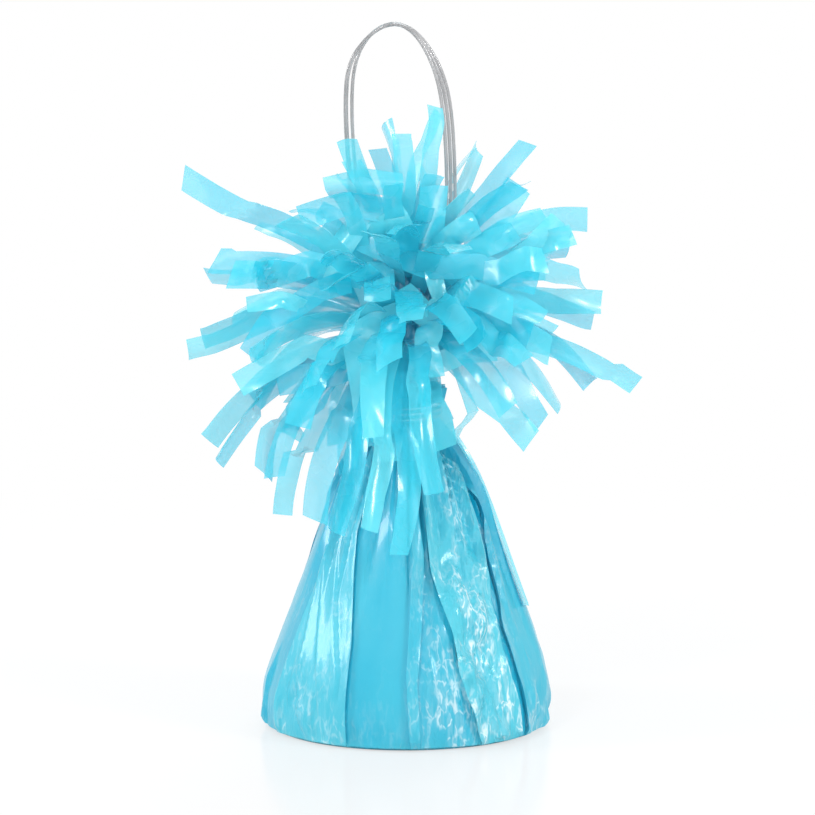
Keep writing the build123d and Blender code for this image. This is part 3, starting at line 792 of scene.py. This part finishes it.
def lay_strip(name, corners, seed):
    """A strip of film laid along a CAD strip, with its own bends. One that hangs at the side turns as it falls."""
    dice = np.random.default_rng(seed)
    cubic, length, across = strip_line(corners)
    level, quarter = name.split("_")[1:3]
    slant = dice.uniform(-tip_slant, tip_slant) * strip_width / length
    share = strip_along * (1 + root_reach + slant * strip_across) - root_reach
    share *= trim_shares.get((level, quarter), 1)
    line = np.vander(share, 4) @ cubic
    draped = corners[:, 2].min() < sack_side_height
    if draped:
        line = off_the_sack(line, flap_stand)
    slope = unit(np.vander(share, 3) @ (cubic[:3] * np.array([[3], [2], [1]])))
    normal = np.cross(slope, across)
    outer = np.clip((share - outer_from) / (1 - outer_from), 0, 1)
    shown = np.cross(slope, [0, -1, 0]).mean(axis=0)
    turn = np.arctan2(shown @ normal.mean(axis=0), shown @ across)
    turn = (turn + np.pi / 2) % np.pi - np.pi / 2
    turn *= face_shares[level]
    if quarter == "back" and level != "hanging":
        turn = dice.uniform(-free_turn, free_turn)
    twist = dice.normal(0, twist_spread) * outer**1.5 + turn * np.clip((share - turn_from) / turn_ease, 0, 1)
    side, face = roll_strip(across, normal, twist)
    narrow = crown_narrow if level == "crown" else np.interp(length, [long_from, long_to], [1, long_narrow])
    narrow *= narrow_shares.get((level, quarter), 1)
    narrow *= dice.uniform(0.85, 1.05)
    width = narrow * strip_width * np.interp(share, [0, taper_end], [root_width, 1])
    run = share * length
    swing = np.interp(length, [long_from, long_to], [0, swing_reach]) * np.sin(2 * np.pi * share) * dice.choice([-1, 1])
    wave = dice.uniform(0.2, 0.7) * mm * np.sin(run / (dice.uniform(3.5, 6) * mm) + dice.uniform(0, 6)) * outer
    cup = dice.normal(0, cup_spread) * mm * cup_form
    kink_at = np.concatenate([[0.1], np.sort(dice.uniform(0.3, 0.9, kink_count)), [1.1]])
    skewed = share + dice.uniform(-kink_slant, kink_slant) * strip_across * strip_width / length
    calm = crown_calm if level == "crown" else np.interp(length, [long_from, calm_to], [1, long_calm])
    kinks, veer = [
        np.interp(skewed, kink_at, np.concatenate([[0], dice.normal(0, spread, kink_count + 1)])) * length * calm
        for spread in (kink_spread, veer_spread)
    ]
    curl, sweep = [dice.normal(0, spread) * length * outer**2 * calm for spread in (curl_spread, sweep_spread)]
    arch = arch_shares[level] * dice.uniform(0.2, 1) * length * np.sin(np.pi * np.clip(share, 0, 1))
    film = np.column_stack([run, strip_across * strip_width * crumple_squeeze])
    dents = dice.choice(dent_depths) * mm * crumple(film, crumple_length * mm, seed + 1) * outer
    lift = (wave + cup + kinks + curl + dents) * (flap_lift if draped else 1)
    aside = strip_across * width + (0 if draped else veer + sweep + swing)
    places = line + side * aside[:, None] + face * lift[:, None]
    places[:, 2] += arch
    return new_strip(name, places, dice.uniform())


# %% [markdown]
# ## Short strips
# Over the core of the fringe and under its crown lie short, sharply folded strips that no CAD strip follows. They
# are laid one by one, each in the group that it lies on.

# %% Short strips over the core and under the crown
# each from the photograph: its group, width and tone, and then its line as x, depth, height and roll. Lengths
# are in millimetres, and the roll turns the strip about its own line, in degrees from facing the front.
# a short strip's tone is painted light and shade: pale for a strip that looks lit, deep for one that lies in shade
core_strips = [
    ("middle_front", 5.6, 0.1, [
        (-10, -10, 109.5, 20), (4.5, -13.5, 103.8, -15), (15.5, -14.5, 104, 10), (28.5, -16, 100.6, 25),
    ]),
    ("upper_front", 5.4, 0.8, [(-18, -13, 98.5, 0), (-14, -11.5, 108, 15), (-9, -9.5, 115, 35)]),
    ("upper_front", 5.6, 1.0, [(-9, -9, 109.5, -40), (-3.5, -11, 112.6, -20), (0.6, -11, 114.8, 25)]),
    ("upper_front", 5.6, 0.6, [(5, -10, 104.5, 0), (9.5, -12, 110, -30), (15.5, -12.5, 113.6, 30)]),
    ("middle_front", 5.8, 0.3, [(-5.6, -10.5, 104.5, 10), (-5.2, -13, 98, -10), (-4.9, -13, 91.5, 15)]),
    ("middle_front", 3.8, 1.0, [(5.5, -12, 103.5, 30), (7.4, -15, 97, -35), (5, -15.5, 92.8, 40)]),
    ("middle_front", 5.8, 0.7, [
        (-1.5, -12, 98.5, 20), (5.6, -16, 92, -35), (4.4, -16.5, 87.2, 30), (5.6, -17, 80, -10),
    ]),
    ("hanging_front", 5.6, 0.8, [
        (1, -12.5, 94.5, 30), (-6.5, -15.5, 91.6, -20), (-11.2, -16.5, 88.8, 10),
        (-9, -17.5, 76, -8), (-8, -18, 65, 12),
    ]),
    ("middle_right", 4.8, 0.9, [(6.5, -13, 82.5, 20), (13, -15.5, 85, -20), (19.5, -15, 85.8, 20)]),
    ("middle_left", 5.2, 0.0, [
        (-12, -12, 100.5, 0), (-18.5, -14, 98.6, 15), (-29.5, -15.5, 92, -10), (-34, -15, 84.6, 10),
    ]),
    ("middle_left", 3.8, 1.0, [(-22, -15, 95.5, 35), (-27, -16.5, 97, -30), (-34.5, -17, 96.2, 25)]),
    ("lower_left", 6, 0.0, [(-6, -11, 84.6, 0), (-15.5, -13, 80.6, -15), (-28, -13.5, 78.2, 10)]),
    ("lower_left", 5.6, 0.8, [(-11, -13, 83.5, -10), (-21.5, -15.5, 86.8, 20), (-36.5, -15, 78, -20)]),
    ("middle_right", 6, 0.0, [(9, -11.5, 98, 10), (18.8, -14.5, 92, -15), (27, -15, 89, 20)]),
    ("upper_left", 5.6, 0.2, [(-9, -11, 101, 10), (-21, -13.5, 104.5, -15), (-33, -14, 100.5, 20)]),
    ("upper_right", 5.4, 0.4, [(8, -11, 101, 0), (17, -13.5, 108.5, 20), (24, -14, 111.5, -25)]),
    ("upper_front", 5.2, 0.6, [(-0.5, -11, 121, 5), (-8.5, -11.8, 122.4, -15), (-17.5, -11.5, 120.5, 20)]),
    ("upper_left", 5.6, 0.3, [(-3, -11, 115.5, 0), (-13, -12, 117.5, 15), (-23, -11.5, 114, -20)]),
    ("upper_front", 6, 0.4, [(5.2, -11, 108.5, 0), (5.6, -12, 115, 12), (6.2, -11.5, 121.4, -12)]),
    ("upper_right", 6.4, 0.3, [(14.5, -10.5, 105.5, 0), (19.5, -12, 114, 15), (24.5, -11.5, 121.5, -15)]),
    ("upper_right", 6.8, 1.0, [(23.5, -10, 102.5, 15), (28.5, -11.5, 108, -25), (34.2, -11.5, 113, 20)]),
]
core_slant, core_cup = 0.25, 0.4
core_ease = 2.5  # a fold is rounded over this length on either side


def lay_core_strip(name, film_width, film_tone, line, seed):
    """A strip of film along a line of a few points, with a sharp fold at each of them."""
    dice = np.random.default_rng(seed)
    points = np.array(line)
    steps = steps_along(points[:, :3])
    slant = dice.uniform(-core_slant, core_slant) * film_width
    run = strip_along * steps[-1] + slant * strip_across
    behind, middle, ahead = [
        np.column_stack([np.interp(run + shift, steps, points[:, axis]) for axis in range(3)])
        for shift in (-core_ease, 0, core_ease)
    ]
    slope = unit(ahead - behind)
    across = unit(np.cross(slope, [0, -1, 0]))
    roll = np.radians(np.interp(run, steps, points[:, 3]))
    side, face = roll_strip(across, np.cross(across, slope), roll)
    film = np.column_stack([run, strip_across * film_width * crumple_squeeze])
    lift = dice.uniform(0.05, 0.3) * crumple(film, crumple_length, seed) + dice.normal(0, core_cup) * cup_form
    places = (middle + side * (strip_across * film_width)[:, None] + face * lift[:, None]) * mm
    return new_strip(name, places, film_tone)


# %% All strips, group by group
strip_thickness = 0.1 * mm
strip_seed, core_seed = 100, 300
fringe_names = sorted(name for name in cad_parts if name.startswith("fringe_"))
strip_number = 0
for name in fringe_names:
    strips = []
    for corners in strip_corners(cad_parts[name]):
        strip_number += 1
        strips.append(lay_strip(name + "_strip", corners, strip_seed + strip_number))
    for number, (place, *form) in enumerate(core_strips):
        if name == "fringe_" + place:
            strips.append(lay_core_strip(name + "_strip", *form, core_seed + number))
    bpy.ops.object.select_all(action="DESELECT")
    for strip in strips:
        strip.select_set(True)
    bpy.context.view_layer.objects.active = strips[0]
    bpy.ops.object.join()
    group = bpy.context.object
    group.name = group.data.name = name + "_film"
    finish_film(group, strip_thickness, strip_film)
    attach(group, "weight")
    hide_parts(name)
bpy.data.objects.remove(strip_pattern)

# %% [markdown]
# ## Neck tie
# A thin soft wire is wound three times round the neck and holds the gathers. It is hidden behind the strips, but it
# is there from below. A circle of wire for each turn would not join up, so a helix runs once through all turns.

# %% Tie wire
spangle_size = 0.8 * mm
tie_wire, shader, place = start_material("annealed_galvanised_wire")
zinc = blend(noise(place, spangle_size, detail=3), "8D9296", "C2C6C8")
set_inputs(shader, {"Base Color": zinc, "Metallic": 1, "Roughness": 0.38})
wire_radius = 0.35 * mm
tie_turns = 3
points_per_turn = 16
last_point = tie_turns * points_per_turn
tie_radius = tie_high.x - wire_radius
tie_points = []
for number in range(last_point + 1):
    angle = 2 * math.pi * number / points_per_turn
    rise = tie_low.z + wire_radius + (tie_high.z - tie_low.z - 2 * wire_radius) * number / last_point
    tie_points.append((tie_radius * math.cos(angle), tie_radius * math.sin(angle), rise))
tie = bent_wire("neck_tie_wire", tie_points, wire_radius, tie_wire, roundness=3, steps=4)
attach(tie, "weight")
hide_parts("neck_tie")
print("tie of", tie_turns, "turns")

# %% [markdown]
# ## Cup and casting
# Inside, a thin white polystyrene cup holds a cast of cement mortar. Both solids are right as they are and never
# show from outside, so they only get their finishes: a faint moulding grain on the cup, sand and pores in the cast.

# %% Cup and casting materials
moulding_grain, grain_depth = 0.6 * mm, 0.05 * mm
moulded_cup, shader, place = start_material("moulded_white_polystyrene")
cup_look = {
    "Base Color": linear("EDEEEA"),
    "Roughness": 0.45,
    "Normal": bump(noise(place, moulding_grain), 0.3, grain_depth),
    "IOR": 1.59,
}
set_inputs(shader, cup_look)

sand_size, sand_depth = 0.9 * mm, 0.3 * mm
cast_mortar, shader, place = start_material("cast_cement_mortar")
sand = noise(place, sand_size, detail=6)
mortar_look = {
    "Base Color": blend(sand, "77746E", "B5B2AA"),
    "Roughness": 0.9,
    "Normal": bump(sand, 0.8, sand_depth),
}
set_inputs(shader, mortar_look)
for name, material in (("weight_cup", moulded_cup), ("cast_weight", cast_mortar)):
    for material_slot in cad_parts[name].material_slots:
        material_slot.material = material
print("finishes for the cup and the casting")

# %% [markdown]
# ## Floor, room and light
# The photograph has a white room and a pale floor with a faint reflection. The floor shows the camera mostly plain
# white and keeps a share of its true shading, so the shadow and the reflection stay. The lamps are soft boxes
# all round, which give the film its white glints, and a weak one near the camera that lights the cone under the
# strips.

# %% Floor
plain_near, plain_from, plain_to = 0.66, 70 * mm, 300 * mm  # the plain share near the object, and where it grows to 1
bpy.ops.object.select_all(action="DESELECT")
bpy.ops.mesh.primitive_plane_add(size=8)
floor = bpy.context.object
floor.name = "floor"
floor_white, shader, place = start_material("polished_white_acrylic")
set_inputs(shader, {"Base Color": linear("F4F5F6"), "Roughness": 0.16})
distance = add_node(shader, "VectorMath", {0: place}, operation="LENGTH").outputs["Value"]
plain = remap(distance, (plain_from, plain_to), (plain_near, 1))
share = calc("MULTIPLY", add_node(shader, "LightPath").outputs["Is Camera Ray"], plain)
glow = add_node(shader, "Emission", {"Color": linear("FFFFFF"), "Strength": 1}).outputs["Emission"]
both = add_node(shader, "MixShader", {"Fac": share, 1: shader.outputs["BSDF"], 2: glow}).outputs["Shader"]
set_inputs(floor_white.node_tree.nodes["Material Output"], {"Surface": both})
floor.data.materials.append(floor_white)
print("floor of", floor_white.name)

# %% Room and lamps
room_light = 0.55
world = bpy.data.worlds.new("white_room")
bpy.context.scene.world = world
world.use_nodes = True
background = world.node_tree.nodes["Background"]
rays = add_node(background, "LightPath").outputs
seen = calc("MAXIMUM", rays["Is Camera Ray"], rays["Is Glossy Ray"])
seen = calc("MAXIMUM", seen, rays["Is Transmission Ray"])
set_inputs(background, {"Color": linear("FFFFFF"), "Strength": remap(seen, (0, 1), (room_light, 1))})
# name, place in metres, width in metres and power in watts
lamps = [
    ("key_box", (-0.3, -0.6, 0.68), 0.15, 1.8),
    ("front_fill", (0.12, -1.0, 0.2), 0.5, 1.2),
    ("left_box", (-0.68, -0.12, 0.34), 0.2, 1.8),
    ("right_box", (0.6, -0.4, 0.4), 0.17, 2.1),
    ("back_box", (0.15, 0.6, 0.7), 0.4, 2.6),
]
for name, place, size, power in lamps:
    lamp_data = bpy.data.lights.new(name, "AREA")
    lamp_data.size = size
    lamp_data.energy = power
    lamp = bpy.data.objects.new(name, lamp_data)
    bpy.context.collection.objects.link(lamp)
    lamp.location = place
    lamp.rotation_euler = (Vector(place) - view_middle).to_track_quat("Z", "Y").to_euler()
print(len(lamps), "lamps")
